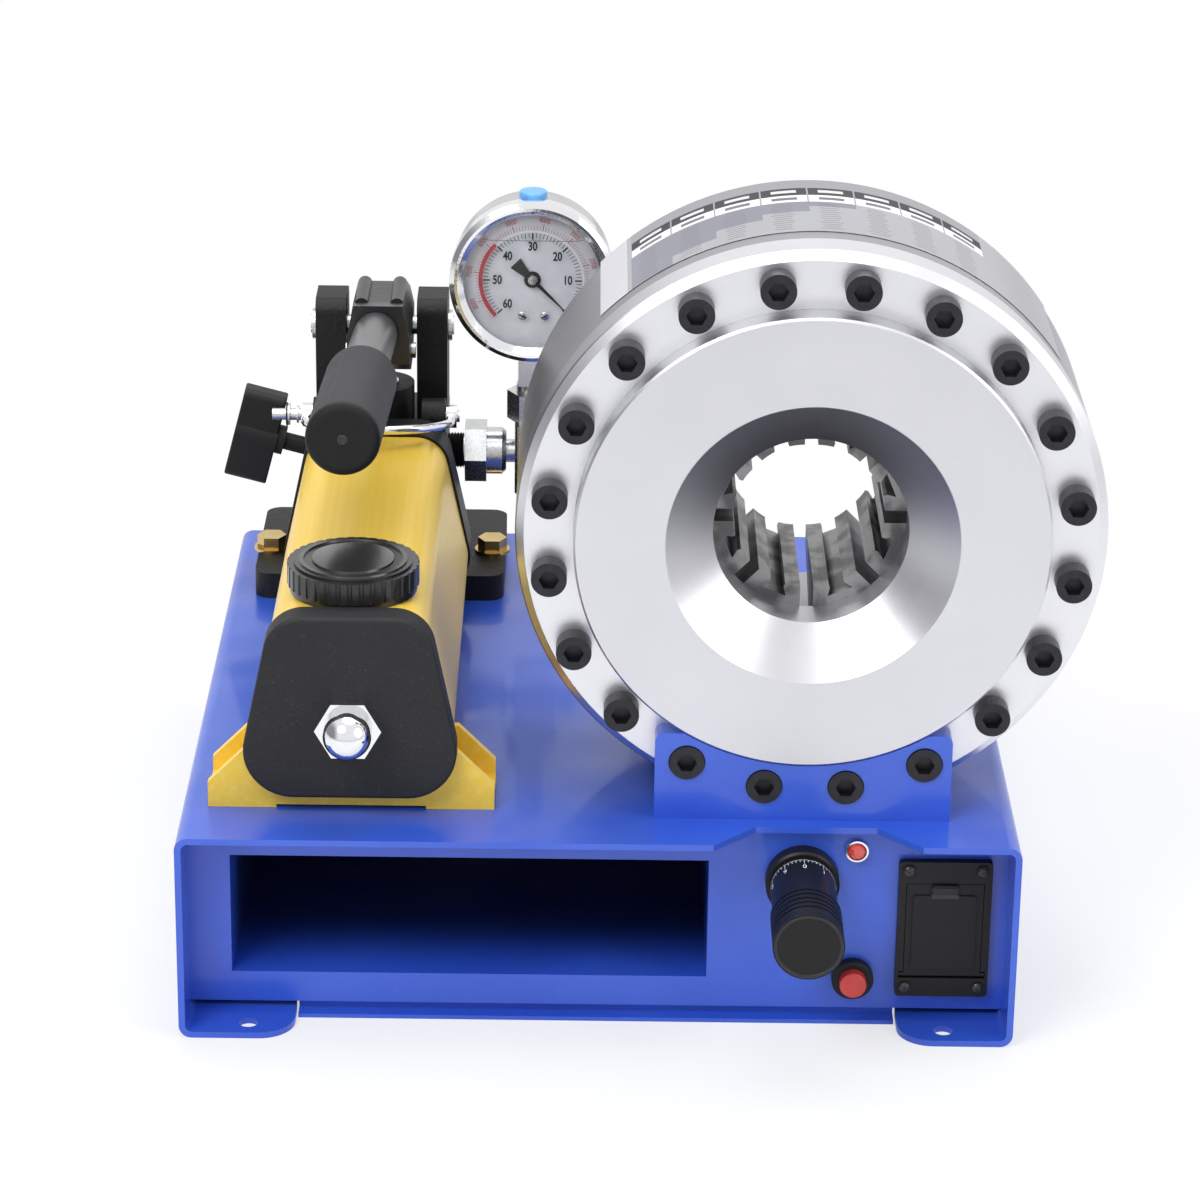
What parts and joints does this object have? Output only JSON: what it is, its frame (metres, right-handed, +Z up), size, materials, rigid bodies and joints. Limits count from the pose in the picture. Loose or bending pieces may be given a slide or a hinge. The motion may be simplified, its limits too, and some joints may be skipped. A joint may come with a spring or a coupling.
{
  "type": "hose crimping machine",
  "caption": "Bench hose crimping machine with a hand-pumped ring head of tapered shoes on a sheet metal base, with a gauge and a dial.",
  "frame": {"origin": "on the floor in the middle of the four foot holes", "axes": "+Z up, +Y to the rear, +X to the right seen from the front"},
  "size_m": [0.4184, 0.427, 0.365],
  "materials": {
    "blue_paint": "glossy",
    "turned_steel": "satin turned",
    "tool_steel": "ground",
    "black_oxide": "black oxide",
    "rubber": "matt",
    "yellow_anodised": "satin",
    "chrome": "polished",
    "zinc": "zinc plated",
    "brass": "yellow zinc",
    "black_casting": "black paint on a rough casting",
    "black_paint": "semi-gloss",
    "black_plastic": "fine texture",
    "gauge_steel": "polished",
    "clear_glass": "clear",
    "white_face": "matt",
    "pointer_black": "matt",
    "blue_plastic": "gloss",
    "red_plastic": "gloss"
  },
  "bodies": {
    "machine": {"acorn_nut": "chrome", "bail_pins": "zinc", "base_shell": "blue_paint", "battery_box": "black_plastic", "bottom_plate": "blue_paint", "button_bezel": "black_plastic", "coupling_nut": "zinc", "coupling_tail": "zinc", "cylinder_barrel": "turned_steel", "dial_barrel": "black_paint", "ear_bolts": "brass", "feed_pipe": "zinc", "flange_ring": "turned_steel", "front_cover": "turned_steel", "front_panel": "blue_paint", "fulcrum_pin": "zinc", "gauge_adapter": "zinc", "gauge_bezel": "chrome", "gauge_case": "gauge_steel", "gauge_dial": "white_face", "gauge_glass": "clear_glass", "gauge_plug": "blue_plastic", "head_bracket": "blue_paint", "head_screws": "black_oxide", "outlet_adapter": "zinc", "pilot_lamp": "red_plastic", "pump_body": "black_casting", "pump_foot": "yellow_anodised", "rear_cover": "turned_steel", "rear_panel": "blue_paint", "rear_saddle": "blue_paint", "rear_screws": "black_oxide", "relief_plug": "zinc", "reservoir": "yellow_anodised", "reservoir_end_cap": "rubber", "tee_block": "zinc", "tie_rod": "zinc"},
    "ram": {"ram_cone": "tool_steel", "ram_seals": "rubber"},
    "shoe_1": {"die_shoe_1": "tool_steel"},
    "shoe_2": {"die_shoe_2": "tool_steel"},
    "shoe_3": {"die_shoe_3": "tool_steel"},
    "shoe_4": {"die_shoe_4": "tool_steel"},
    "shoe_5": {"die_shoe_5": "tool_steel"},
    "shoe_6": {"die_shoe_6": "tool_steel"},
    "shoe_7": {"die_shoe_7": "tool_steel"},
    "shoe_8": {"die_shoe_8": "tool_steel"},
    "handle": {"handle_socket": "black_casting", "handle_tube": "black_paint", "handle_grip": "rubber", "plunger_pin": "zinc"},
    "plunger": {"plunger": "zinc"},
    "knob": {"release_knob": "black_plastic"},
    "filler": {"filler_cap": "black_plastic"},
    "bail": {"handle_bail": "chrome"},
    "thimble": {"dial_thimble": "black_paint"},
    "spindle": {"dial_spindle": "black_paint"},
    "button": {"push_button": "red_plastic"},
    "lid": {"battery_lid": "black_plastic"},
    "pointer": {"gauge_pointer": "pointer_black"}
  },
  "joints": [
    {"name": "ram_slide", "type": "slide", "parent": "machine", "child": "ram", "axis": [0, -1, 0], "range_m": [0, 0.02], "stiffness_N_per_m": 2000},
    {"name": "shoe_1_slide", "type": "slide", "parent": "machine", "child": "shoe_1", "axis": [-0.3827, 0, -0.9239], "range_m": [0, 0.0073]},
    {"name": "shoe_2_slide", "type": "slide", "parent": "machine", "child": "shoe_2", "axis": [-0.9239, 0, -0.3827], "range_m": [0, 0.0073]},
    {"name": "shoe_3_slide", "type": "slide", "parent": "machine", "child": "shoe_3", "axis": [-0.9239, 0, 0.3827], "range_m": [0, 0.0073]},
    {"name": "shoe_4_slide", "type": "slide", "parent": "machine", "child": "shoe_4", "axis": [-0.3827, 0, 0.9239], "range_m": [0, 0.0073]},
    {"name": "shoe_5_slide", "type": "slide", "parent": "machine", "child": "shoe_5", "axis": [0.3827, 0, 0.9239], "range_m": [0, 0.0073]},
    {"name": "shoe_6_slide", "type": "slide", "parent": "machine", "child": "shoe_6", "axis": [0.9239, 0, 0.3827], "range_m": [0, 0.0073]},
    {"name": "shoe_7_slide", "type": "slide", "parent": "machine", "child": "shoe_7", "axis": [0.9239, 0, -0.3827], "range_m": [0, 0.0073]},
    {"name": "shoe_8_slide", "type": "slide", "parent": "machine", "child": "shoe_8", "axis": [0.3827, 0, -0.9239], "range_m": [0, 0.0073]},
    {"name": "pump_handle", "type": "hinge", "parent": "machine", "child": "handle", "pos_m": [-0.1125, 0.153, 0.229], "axis": [-1, 0, 0], "range_deg": [-2, 44]},
    {"name": "plunger_slide", "type": "slide", "parent": "machine", "child": "plunger", "axis": [0, 0, 1], "range_m": [-0.0009, 0.018]},
    {"name": "release_turn", "type": "hinge", "parent": "machine", "child": "knob", "pos_m": [-0.177, 0.136, 0.175], "axis": [0.9681, 0, -0.2504], "range_deg": [-100, 0]},
    {"name": "filler_turn", "type": "hinge", "parent": "machine", "child": "filler", "pos_m": [-0.1125, -0.122, 0.194], "axis": [0, 0, 1], "range_deg": [0, 360]},
    {"name": "bail_swing", "type": "hinge", "parent": "machine", "child": "bail", "pos_m": [-0.1125, 0.118, 0.192], "axis": [-1, 0, 0], "range_deg": [0, 8]},
    {"name": "dial_turn", "type": "hinge", "parent": "machine", "child": "thimble", "pos_m": [0.093, -0.202, 0.0715], "axis": [0, -1, 0], "range_deg": [-720, 720]},
    {"name": "spindle_slide", "type": "slide", "parent": "machine", "child": "spindle", "axis": [0, 1, 0], "range_m": [-0.0021, 0.0021]},
    {"name": "button_press", "type": "slide", "parent": "machine", "child": "button", "axis": [0, 1, 0], "range_m": [0, 0.003], "stiffness_N_per_m": 300},
    {"name": "lid_open", "type": "hinge", "parent": "machine", "child": "lid", "pos_m": [0.1582, -0.169, 0.0253], "axis": [1, 0, 0], "range_deg": [0, 110]},
    {"name": "pointer_turn", "type": "hinge", "parent": "machine", "child": "pointer", "pos_m": [-0.0355, 0.116, 0.2665], "axis": [0, -1, 0], "range_deg": [0, 270], "stiffness_Nm_per_rad": 0.0005}
  ],
  "couplings": [
    {"joint": "shoe_1_slide", "follows": "ram_slide", "ratio": 0.36397},
    {"joint": "shoe_2_slide", "follows": "ram_slide", "ratio": 0.36397},
    {"joint": "shoe_3_slide", "follows": "ram_slide", "ratio": 0.36397},
    {"joint": "shoe_4_slide", "follows": "ram_slide", "ratio": 0.36397},
    {"joint": "shoe_5_slide", "follows": "ram_slide", "ratio": 0.36397},
    {"joint": "shoe_6_slide", "follows": "ram_slide", "ratio": 0.36397},
    {"joint": "shoe_7_slide", "follows": "ram_slide", "ratio": 0.36397},
    {"joint": "shoe_8_slide", "follows": "ram_slide", "ratio": 0.36397},
    {"joint": "plunger_slide", "follows": "pump_handle", "m_per_rad": 0.0204},
    {"joint": "spindle_slide", "follows": "dial_turn", "m_per_rad": -0.00015915}
  ]
}
